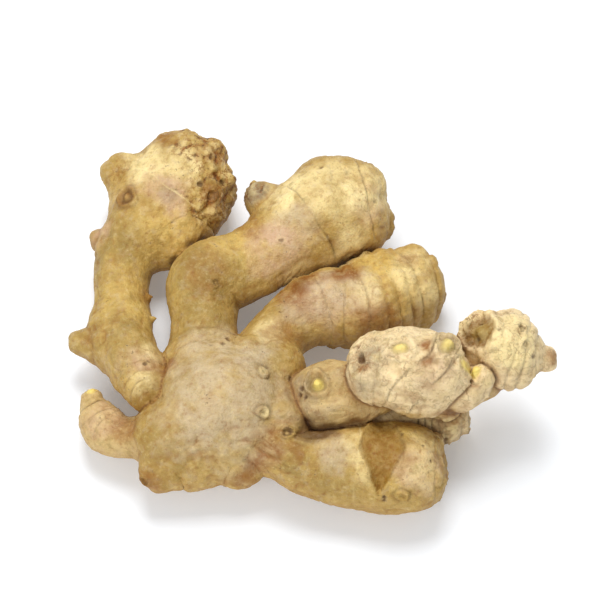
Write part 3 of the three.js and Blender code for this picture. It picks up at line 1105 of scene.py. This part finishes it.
    def fine(self, points: Points, survey: Survey, found: dict[Tint, Values]) -> Values:
        """The grit, fibres, wrinkles and crumbs of the skin, in millimetres.

        Args:
            points: Places in millimetres.
            survey: The survey of the places.
            found: The patches of the skin.

        Returns:
            The height at each place.
        """
        total = sum(height * self.noise.at(points + 3.0 * size, size) for size, height in self.grit)
        grain = self.grain(survey)
        total += self.stir(grain, Bumps.FIBRES)
        wrinkle = self.vein(grain, 3.2, 0.16) + 0.6 * self.vein(grain + 9.0, 2.0, 0.2)
        total -= (found[Tint.WRINKLE] + self.wrinkled) * self.wrinkle_depth * np.minimum(wrinkle, 1.0)
        cracked = lift_between(self.stir(points, Bumps.CRACKED), -0.1, 0.3)
        total -= self.crack_depth * self.vein(points + 21.0, 6.0, 0.07) * cracked
        crumbs = (Bumps.CRUMBS, Bumps.SMALL_CRUMBS, Bumps.TINY_CRUMBS)
        rough = sum(np.abs(self.stir(points, kind)) for kind in crumbs)
        return total + found[Tint.CRUMB] * self.crumb_height * (1.6 * rough - 0.7)

    def heights(self, points: Points, survey: Survey) -> Values:
        """All the relief.

        Args:
            points: Places in millimetres.
            survey: The survey of the places.

        Returns:
            The height at each place, in millimetres along the normal.
        """
        total = sum(height * self.noise.at(points, size) for size, height in self.lumps)
        total += self.fine(points, survey, self.patches(points))
        total += self.ring_traces(points, survey).height
        total += self.mark_traces(points).height
        total += self.dish_traces(points).height
        return total - self.crease_depth * survey.crease


@dataclass
class Rhizome:
    """The ginger root: one skin, grown from all of its fingers."""

    name: str = "ginger_rhizome"
    node: str = "rhizome"
    slot: str = "skin"
    voxel: float = 1.3  # size of the cells in which the fingers are fused
    segments: int = 40  # faces round a finger before it is fused
    station_step: float = 2.0  # length of a face along a finger before it is fused
    dome_rings: int = 9  # rings of faces over an end
    settle_rounds: int = 4
    settle_step: float = 1.5  # most that one round moves the skin
    face_limit: int = 192000
    rest_flat: float = 0.0  # height of the surface that the root lies on
    turned_down: tuple[float, float] = (-0.45, 0.5)  # how far down the skin faces where its painted shade begins, and where it is full
    hollow_depth: float = 0.7  # depth at which a hollow's painted shade is as dark as it gets

    def build(self, finish: "SkinFinish") -> bpy.types.Object:
        """Makes the root.

        Args:
            finish: The finish of its skin.

        Returns:
            The root, which replaces its plain solid.
        """
        self.hand = Hand()
        self.relief = Relief(self.hand)
        piece = self._fused()
        self._settle(piece)
        finish_with(piece, "SUBSURF", levels=1, render_levels=1)
        self._raise_relief(piece)
        ratio = self.face_limit / len(triangles_of(piece))
        if ratio < 1.0:
            finish_with(piece, "DECIMATE", ratio=ratio)
        self._lay_down(piece)
        self._note_surface(piece)
        select_only(piece)
        bpy.ops.object.shade_smooth()
        piece.data.materials.clear()
        piece.data.materials.append(finish.build())
        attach(piece, "root")
        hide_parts(self.node)
        LOG.info("%s: %d triangles", piece.name, len(triangles_of(piece)))
        return piece

    def _finger(self, course: Course) -> bpy.types.Object:
        """Draws a ball out along a finger's centre line, ring by ring.

        Args:
            course: The course of the finger.

        Returns:
            The finger.
        """
        body = max(1, round(course.length / self.station_step))
        inner = np.linspace(0.0, 1.0, body + 1) * course.length
        domes = np.sin(np.linspace(0.0, math.pi / 2, self.dome_rings + 1))[1:-1]
        stations = [(0.0, -t) for t in domes[::-1]] + [(s, 0.0) for s in inner]
        stations += [(course.length, t) for t in domes]
        ring_count = len(stations) + 1
        bpy.ops.mesh.primitive_uv_sphere_add(segments=self.segments, ring_count=ring_count, radius=1.0)
        piece = bpy.context.active_object
        ball = np.array([vertex.co for vertex in piece.data.vertices])
        ring = np.rint(np.arccos(np.clip(ball[:, 2], -1, 1)) / math.pi * ring_count).astype(int)
        angle = np.arctan2(ball[:, 1], ball[:, 0])
        poles = [(0.0, -1.0), *stations, (course.length, 1.0)]
        along, past = np.array(poles)[ring].T
        radius = np.interp(along, course.along, course.radius)
        share = np.clip(1.0 - np.abs(past) ** BLUNT, 0.0, 1.0) ** (1.0 / BLUNT)
        reach = share * radius * (1.0 + course.unevenness(angle, along + past * radius))
        frames = [
            np.stack([np.interp(along, course.along, way[:, i]) for i in range(3)], axis=1)
            for way in (course.centre, course.ahead, course.side, course.top)
        ]
        centre, ahead, side, top = frames
        out = side * np.cos(angle)[:, None] + top * np.sin(angle)[:, None]
        move_points(piece, centre + ahead * (past * radius)[:, None] + out * reach[:, None])
        return piece

    def _fused(self) -> bpy.types.Object:
        """Joins the fingers.

        Returns:
            All of them as one closed skin.
        """
        bpy.ops.object.select_all(action="DESELECT")
        fingers = [self._finger(course) for course in self.hand.courses]
        select_only(*fingers)
        bpy.ops.object.join()
        piece = bpy.context.active_object
        piece.name = piece.data.name = self.name
        finish_with(piece, "REMESH", mode="VOXEL", voxel_size=self.voxel * MM, adaptivity=0.0)
        return piece

    def _settle(self, piece: bpy.types.Object) -> None:
        """Moves the skin onto the field in which the fingers melt into each other.

        Args:
            piece: The root.
        """
        triangles = triangles_of(piece)
        for _ in range(self.settle_rounds):
            finish_with(piece, "SMOOTH", factor=0.5, iterations=1)
            points = points_of(piece)
            survey = self.hand.survey(points)
            step = np.clip(survey.melted - survey.off, -self.settle_step, self.settle_step)
            move_points(piece, points + vertex_normals(points, triangles) * step[:, None])

    def _raise_relief(self, piece: bpy.types.Object) -> None:
        """Gives the skin its relief.

        Args:
            piece: The root.
        """
        points, triangles = points_of(piece), triangles_of(piece)
        heights = self.relief.heights(points, self.hand.survey(points))
        move_points(piece, points + vertex_normals(points, triangles) * heights[:, None])

    def _lay_down(self, piece: bpy.types.Object) -> None:
        """Flattens what would be lower than the surface that the root lies on.

        Args:
            piece: The root.
        """
        points = points_of(piece)
        points[:, 2] = np.maximum(points[:, 2], self.rest_flat)
        move_points(piece, points)

    def _note_surface(self, piece: bpy.types.Object) -> None:
        """Keeps what the finish needs to know about the skin as attributes of its vertices.

        Args:
            piece: The root.
        """
        points = points_of(piece)
        outward = vertex_normals(points, triangles_of(piece))
        survey = self.hand.survey(points)
        found = self.relief.patches(points)
        ring = self.relief.ring_traces(points, survey)
        marks = self.relief.mark_traces(points)
        dish = self.relief.dish_traces(points)
        ages = np.array([finger.young for finger in FINGERS])
        values = {tint.value: level for tint, level in found.items()}
        values |= {
            "ring": ring.dark,
            "yellow": marks.yellow,
            "dark": np.maximum(marks.dark, dish.dark),
            "dish": np.maximum(dish.dish, marks.dish),
            "crease": survey.crease,
            # painted shade beside the creases between fingers
            "nook": survey.nook,
            # painted shade, strongest where the skin faces down
            "under": lift_between(-outward[:, 2], *self.turned_down),
            "young": ages[survey.host],
            # how far the fine relief sinks, which sets its painted shade in hollows and painted highlight on
            # ridges
            "hollow": np.clip(-self.relief.fine(points, survey, found) / self.hollow_depth, -1.0, 1.0),
        }
        for name, level in values.items():
            layer = piece.data.attributes.new(name, "FLOAT", "POINT")
            layer.data.foreach_set("value", level.astype(np.float32))
        layer = piece.data.attributes.new("grain", "FLOAT_VECTOR", "POINT")
        layer.data.foreach_set("vector", self.relief.grain(survey).astype(np.float32).ravel())


Number = float | int


class Wire:
    """An output of a shader node, with arithmetic that adds Math nodes."""

    def __init__(self, graph: "Graph", socket: bpy.types.NodeSocket | None) -> None:
        """Holds the graph and the socket, None for a node that has no output."""
        self.graph = graph
        self.socket = socket

    def _math(self, operation: str, *values: "Wire | Number") -> "Wire":
        """A Math node on these values."""
        return self.graph.add("ShaderNodeMath", {"operation": operation}, *values)

    def __add__(self, other: "Wire | Number") -> "Wire":
        """The sum."""
        return self._math("ADD", self, other)

    __radd__ = __add__

    def __sub__(self, other: "Wire | Number") -> "Wire":
        """The difference."""
        return self._math("SUBTRACT", self, other)

    def __rsub__(self, other: Number) -> "Wire":
        """The difference from a number."""
        return self._math("SUBTRACT", other, self)

    def __mul__(self, other: "Wire | Number") -> "Wire":
        """The product."""
        return self._math("MULTIPLY", self, other)

    __rmul__ = __mul__

    def size(self) -> "Wire":
        """The value without its sign."""
        return self._math("ABSOLUTE", self)

    def step(self, low: float, high: float) -> "Wire":
        """A smooth step from 0 at low to 1 at high, which may be the lower of the two."""
        settings = {"interpolation_type": "SMOOTHSTEP", "clamp": True}
        return self.graph.add("ShaderNodeMapRange", settings, self, low, high, 0.0, 1.0)


Colour = tuple[float, float, float]
WHITE = (1.0, 1.0, 1.0, 1.0)


class Graph:
    """A material's nodes, added by one method."""

    def __init__(self, material: bpy.types.Material) -> None:
        """Clears the material's nodes.

        Args:
            material: The material.
        """
        material.use_nodes = True
        self.tree = material.node_tree
        self.tree.nodes.clear()

    def add(self, kind: str, settings: dict[str, Any], *inputs: Any, output: int = 0, **named: Any) -> Wire:
        """Adds a node.

        Args:
            kind: The node's type.
            settings: Its settings, which are set first.
            inputs: Values or wires for its first sockets, None to skip one.
            output: Which of its outputs is returned.
            named: Values or wires for sockets by name, with _ for a space.

        Returns:
            The wire from that output.
        """
        node = self.tree.nodes.new(kind)
        for name, value in settings.items():
            setattr(node, name, value)
        sockets = [(node.inputs[i], value) for i, value in enumerate(inputs)]
        sockets += [(node.inputs[name.replace("_", " ")], value) for name, value in named.items()]
        for socket, value in sockets:
            if isinstance(value, Wire):
                self.tree.links.new(value.socket, socket)
            elif value is not None:
                socket.default_value = value
        outputs = list(node.outputs)
        return Wire(self, outputs[output] if outputs else None)

    def mix(self, share: Wire | float, first: Wire | Colour, second: Wire | Colour) -> Wire:
        """A mix of two colours.

        Args:
            share: How much of the second colour there is.
            first: The first colour.
            second: The second colour.

        Returns:
            The mixed colour.
        """
        first, second = (c if isinstance(c, Wire) else (*c, 1.0) for c in (first, second))
        skipped = (None,) * 5  # the sockets for numbers and vectors
        return self.add("ShaderNodeMix", {"data_type": "RGBA"}, share, *skipped, first, second, output=2)

    def noise(self, where: Wire, size: float, detail: float, rough: float) -> Wire:
        """Noise from 0 to 1 whose bumps are of that size, in the units of the place."""
        return self.add("ShaderNodeTexNoise", {}, where, Scale=1.0 / size, Detail=detail, Roughness=rough)

    def attribute(self, name: str, output: int = 2) -> Wire:
        """A value that the mesh keeps at its vertices."""
        return self.add("ShaderNodeAttribute", {"attribute_name": name}, output=output)


def seen_as(red: int, green: int, blue: int) -> Colour:
    """The colour that a screen shows for these values from 0 to 255, by its usual curve."""
    return tuple(((c / 255 + 0.055) / 1.055) ** 2.4 for c in (red, green, blue))


class Mottle(Enum):
    """The noises of the skin's finish: the size of their bumps, their detail and their roughness."""

    BROAD = (20 * MM, 3.0, 0.5)
    BLOTCH = (6 * MM, 4.0, 0.65)
    DAPPLE = (3.4 * MM, 4.0, 0.6)
    FINE = (2.2 * MM, 4.0, 0.7)
    SPECK = (1.7 * MM, 3.0, 0.7)
    FRECKLED = (16 * MM, 2.0, 0.5)
    SEAM = (4 * MM, 3.0, 0.6)
    CRACK = (9 * MM, 3.0, 0.55)
    SHEEN = (4 * MM, 2.0, 0.5)
    GRIT = (2.0 * MM, 3.0, 0.65)
    PORES = (0.8 * MM, 2.0, 0.6)
    STREAK = (1.6, 4.0, 0.7)
    FIBRES = (1.0, 3.0, 0.6)


@dataclass(frozen=True)
class SkinFinish:
    """The finish of the root's thin, dry, buff skin, with painted shade and painted highlights in its
    colour.
    """

    buff: Colour = seen_as(200, 167, 96)
    tan: Colour = seen_as(164, 130, 62)
    gold: Colour = seen_as(216, 182, 100)
    # pale cream for flecks and pale scar tips, also the colour of painted highlights on lit tops, rims and
    # ridges
    bright: Colour = seen_as(252, 230, 166)
    olive: Colour = seen_as(150, 124, 64)
    pink: Colour = seen_as(206, 170, 136)
    # rust brown for stains, crumbs and mottle, also the colour of painted shade in creases, hollows and some
    # gaps
    rust: Colour = seen_as(138, 80, 20)
    # the colour of painted shade, on skin that faces down and beside creases
    painted_shade: Colour = seen_as(156, 106, 32)
    pale: Colour = seen_as(204, 184, 150)
    cream: Colour = seen_as(252, 228, 180)
    bud: Colour = seen_as(248, 224, 120)
    blue: Colour = seen_as(132, 116, 94)
    dish: Colour = seen_as(138, 98, 28)
    # dark soil brown for specks, cracks and ring lines, also the colour of painted shade in creases and
    # crevices
    soil: Colour = seen_as(84, 54, 26)
    roughness: float = 0.52
    name: str = "ginger_skin"

    def build(self) -> bpy.types.Material:
        """Makes the material.

        Returns:
            The material of the skin.
        """
        material = bpy.data.materials.new(self.name)
        graph = Graph(material)
        place = graph.add("ShaderNodeTexCoord", {}, output=3)
        fibre = graph.attribute("grain", output=1)
        colour, specks = self._colour(graph, place, fibre)
        height = self._height(graph, place, fibre, specks)
        normal = graph.add("ShaderNodeBump", {}, Strength=0.9, Distance=0.9 * MM, Height=height)
        sheen = graph.noise(place, *Mottle.SHEEN.value)
        skin = graph.add(
            "ShaderNodeBsdfPrincipled",
            {},
            Base_Color=colour,
            Roughness=sheen * 0.2 + (self.roughness - 0.1) + specks * 0.15,
            Normal=normal,
            IOR=1.4,
            Specular_IOR_Level=0.35,
            Subsurface_Weight=0.06,
            Subsurface_Radius=(1.0, 0.55, 0.25),
            Subsurface_Scale=2.0 * MM,
        )
        graph.add("ShaderNodeOutputMaterial", {}, skin)
        return material

    def _colour(self, graph: Graph, place: Wire, fibre: Wire) -> tuple[Wire, Wire]:
        """The colour of the skin, with painted shade and painted highlights laid into it.

        Args:
            graph: The material's nodes.
            place: The place on the root.
            fibre: The place along and across the finger.

        Returns:
            The colour, and how much of the skin is specked.
        """
        broad, blotch, dapple, fine, speck, freckle, seam, wander = (
            graph.noise(place, *kind.value)
            for kind in (
                Mottle.BROAD, Mottle.BLOTCH, Mottle.DAPPLE, Mottle.FINE, Mottle.SPECK, Mottle.FRECKLED,
                Mottle.SEAM, Mottle.CRACK,
            )
        )
        young, hollow, crumb, dish, ring, crease = (
            graph.attribute(name) for name in ("young", "hollow", "crumb", "dish", "ring", "crease")
        )
        # painted shade: darker where the skin faces down and in the strips beside creases
        shaded = graph.attribute("under") * 0.45 + graph.attribute("nook") * 0.25
        pitted = crumb * speck.step(0.48, 0.62) * hollow.step(-0.3, 0.5)
        freckled = freckle.step(0.45, 0.62)
        specks = (speck.step(0.62, 0.72) * (freckled * 0.6 + 0.15) + pitted).step(0.0, 1.0)
        crack = (wander - 0.5).size().step(0.012, 0.002) * (freckled * 0.25 + young * 0.5)
        patches = []
        # tinted patches; the lightest are mostly painted highlights
        for turn, name in enumerate(("olive", "gold", "pale", "pink", "bright", "blue")):
            ragged = graph.noise(place, (7 + turn) * MM, 4.0, 0.65).step(0.25, 0.6)
            patches.append((graph.attribute(name) * (ragged * 0.8 + 0.2), getattr(self, name)))
        layers = (
            (broad.step(0.35, 0.65) * 0.5 + blotch.step(0.4, 0.65) * 0.4, self.tan),
            (young * (blotch.step(0.7, 0.35) * 0.3 + 0.6), self.cream),
            *patches,
            (dapple.step(0.5, 0.7) * (young * -0.2 + 0.28), self.pale),
            (dapple.step(0.48, 0.3) * 0.4, self.olive),
            (shaded * (young * -0.5 + 1.0), self.painted_shade),
            # rust-brown stains, some of them painted shade in gaps under the fingers above
            (graph.attribute("rust") * (blotch.step(0.3, 0.6) * 0.5 + 0.4), self.rust),
            # painted shade in the hollows of the fine relief, and a painted highlight on its ridges
            (hollow.step(0.05, 1.0) * (crumb * 0.4 + 0.5), self.rust),
            ((hollow * -1.0).step(0.1, 1.0) * 0.3, self.bright),
            (graph.noise(fibre, *Mottle.STREAK.value).step(0.4, 0.75) * 0.08, self.soil),
            (fine.step(0.52, 0.7) * 0.38, self.rust),
            (fine.step(0.47, 0.3) * 0.18, self.bright),
            (crumb * (seam - 0.5).size().step(0.035, 0.005) * 0.7, self.rust),
            (specks * 0.65, self.soil),
            (crack * 0.4, self.soil),
            (dish * (dapple.step(0.6, 0.35) * 0.35 + 0.6), self.dish),
            (dish * fine.step(0.48, 0.66) * 0.35, self.rust),
            (ring.step(0.0, 1.0) * 0.75, self.soil),
            # lightened ring lines; the one at 37.5 on the front lobe is a painted highlight on the dish's
            # rim
            ((ring * -1.0).step(0.0, 0.8) * 0.7, self.bright),
            # painted shade in the creases and crevices between fingers, in rust-brown and soil-dark tints
            (crease.step(0.1, 0.9) * 0.45, self.rust),
            (crease.step(0.6, 1.0) * 0.5 + graph.attribute("soil") * 0.8, self.soil),
            (graph.attribute("yellow") * 0.8, self.bud),
            # dark hollows of the marks, and painted shade along the dish's edge
            (graph.attribute("dark") * 0.8, self.soil),
        )
        colour = self.buff
        for share, tint in layers:
            colour = graph.mix(share, colour, tint)
        return colour, (specks + crack).step(0.0, 1.0)

    def _height(self, graph: Graph, place: Wire, fibre: Wire, specks: Wire) -> Wire:
        """The height of what is finer than the mesh: grit, pores, fibres and specks.

        Args:
            graph: The material's nodes.
            place: The place on the root.
            fibre: The place along and across the finger.
            specks: How much of the skin is specked.

        Returns:
            The height, as a share of the bump's distance.
        """
        grit = graph.noise(place, *Mottle.GRIT.value)
        pores = graph.noise(place, *Mottle.PORES.value)
        fibres = graph.noise(fibre, *Mottle.FIBRES.value)
        return grit * 0.75 + pores * 0.3 + fibres * 0.15 - specks * 0.25


@dataclass(frozen=True)
class FloorFinish:
    """The finish of the floor: a plain white sheet, faintly lit from below."""

    colour: Colour = (0.84, 0.87, 0.91)
    glow: float = 0.16
    name: str = "floor_matt"

    def build(self) -> bpy.types.Material:
        """Makes the material.

        Returns:
            The material of the floor.
        """
        material = bpy.data.materials.new(self.name)
        graph = Graph(material)
        matt = graph.add(
            "ShaderNodeBsdfPrincipled",
            {},
            Base_Color=(*self.colour, 1.0),
            Roughness=1.0,
            Specular_IOR_Level=0.0,
            Emission_Color=WHITE,
            Emission_Strength=self.glow,
        )
        graph.add("ShaderNodeOutputMaterial", {}, matt)
        return material


@dataclass(frozen=True)
class Lamp:
    """A square soft light that faces the root."""

    name: str
    place: tuple[float, float, float]  # in millimetres
    size: float  # length of its edge, in millimetres
    power: float  # in watts


@dataclass
class Studio:
    """The floor, the light and the camera."""

    lamps: tuple[Lamp, ...] = (
        Lamp("sky_light", (-40.0, 420.0, 960.0), 520.0, 8.2),
        Lamp("front_light", (-450.0, -750.0, 600.0), 700.0, 5.2),
    )
    sky: float = 0.42  # strength of the white light from all round
    target: tuple[float, float, float] = (-3.56, 6.98, 20.0)  # what the camera looks at, in millimetres
    elevation: float = 60.0  # how far the camera looks down, in degrees
    distance: float = 1000.0
    lens: float = 150.0
    sensor: float = 36.0  # width of the camera's film, in millimetres
    floor_size: float = 6000.0

    def build(self, floor: FloorFinish) -> None:
        """Sets up the floor, the lights and the camera.

        Args:
            floor: The finish of the floor.
        """
        self._floor(floor)
        for lamp in self.lamps:
            self._light(lamp)
        world = bpy.data.worlds.new("studio")
        bpy.context.scene.world = world
        world.use_nodes = True
        background = world.node_tree.nodes["Background"]
        background.inputs["Color"].default_value = WHITE
        background.inputs["Strength"].default_value = self.sky
        bpy.context.scene.view_settings.view_transform = "Standard"
        self._camera()

    def _floor(self, finish: FloorFinish) -> None:
        """Lays a floor that reaches past every view.

        Args:
            finish: The finish of the floor.
        """
        bpy.ops.object.select_all(action="DESELECT")
        bpy.ops.mesh.primitive_plane_add(size=self.floor_size * MM)
        floor = bpy.context.active_object
        floor.name = "floor"
        floor.data.materials.append(finish.build())

    def _light(self, lamp: Lamp) -> None:
        """Hangs up a light.

        Args:
            lamp: What it is like.
        """
        bpy.ops.object.select_all(action="DESELECT")
        bpy.ops.object.light_add(type="AREA", location=Vector(lamp.place) * MM)
        light = bpy.context.active_object
        light.name = lamp.name
        light.data.size = lamp.size * MM
        light.data.energy = lamp.power
        ahead = Vector(self.target) - Vector(lamp.place)
        light.rotation_euler = ahead.to_track_quat("-Z", "Y").to_euler()

    def _camera(self) -> None:
        """Sets up the camera at the angle from which the root is seen."""
        tilt = math.radians(self.elevation)
        away = Vector((0.0, -math.cos(tilt), math.sin(tilt))) * self.distance
        bpy.ops.object.camera_add(location=(Vector(self.target) + away) * MM)
        camera = bpy.context.active_object
        camera.rotation_euler = (-away).to_track_quat("-Z", "Y").to_euler()
        camera.data.lens = self.lens
        camera.data.sensor_width = self.sensor
        bpy.context.scene.camera = camera


def main() -> None:
    """Builds the studio and the root, and reports each piece."""
    logging.basicConfig(level=logging.INFO, format="%(name)s: %(message)s")
    Studio().build(FloorFinish())
    LOG.info("studio ready")
    root = Rhizome().build(SkinFinish())
    LOG.info("%s rides on the root body", root.name)


if __name__ == "__main__":
    main()
